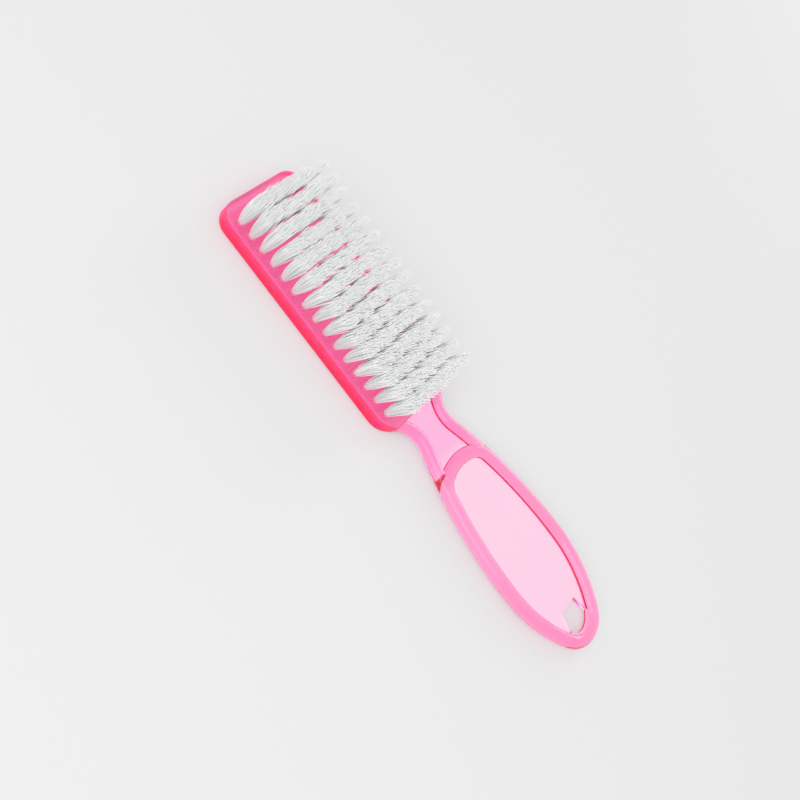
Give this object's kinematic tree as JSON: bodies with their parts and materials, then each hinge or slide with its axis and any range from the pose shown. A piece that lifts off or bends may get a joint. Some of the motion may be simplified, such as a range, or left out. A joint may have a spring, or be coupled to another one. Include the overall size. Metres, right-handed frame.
{
  "type": "nail brush",
  "caption": "Long-handled nail brush: a flat head set with tufts of bristle, a waisted neck and an egg-shaped grip with a round rim, a thin panel and a hang hole at the tail.",
  "frame": {"origin": "under the middle of the whole brush, on the plane that the back of the head rests on", "axes": "+X along the brush from the head to the grip's tail, +Y across it, +Z the way the bristles point"},
  "size_m": [0.175, 0.035, 0.0202],
  "materials": {
    "pink_plastic": "glossy tinted see-through moulded plastic",
    "white_bristle": "satin nylon filament in tufts",
    "anchor_steel": "flat drawn wire"
  },
  "bodies": {
    "root": {"brush_body": "pink_plastic", "tuft_rank_01": "white_bristle", "tuft_rank_02": "white_bristle", "tuft_rank_03": "white_bristle", "tuft_rank_04": "white_bristle", "tuft_rank_05": "white_bristle", "tuft_rank_06": "white_bristle", "tuft_rank_07": "white_bristle", "tuft_rank_08": "white_bristle", "tuft_rank_09": "white_bristle", "tuft_rank_10": "white_bristle", "tuft_rank_11": "white_bristle", "tuft_rank_12": "white_bristle", "tuft_rank_13": "white_bristle", "tuft_rank_14": "white_bristle", "tuft_rank_15": "white_bristle", "anchor_rank_01": "anchor_steel", "anchor_rank_02": "anchor_steel", "anchor_rank_03": "anchor_steel", "anchor_rank_04": "anchor_steel", "anchor_rank_05": "anchor_steel", "anchor_rank_06": "anchor_steel", "anchor_rank_07": "anchor_steel", "anchor_rank_08": "anchor_steel", "anchor_rank_09": "anchor_steel", "anchor_rank_10": "anchor_steel", "anchor_rank_11": "anchor_steel", "anchor_rank_12": "anchor_steel", "anchor_rank_13": "anchor_steel", "anchor_rank_14": "anchor_steel", "anchor_rank_15": "anchor_steel"}
  },
  "joints": []
}
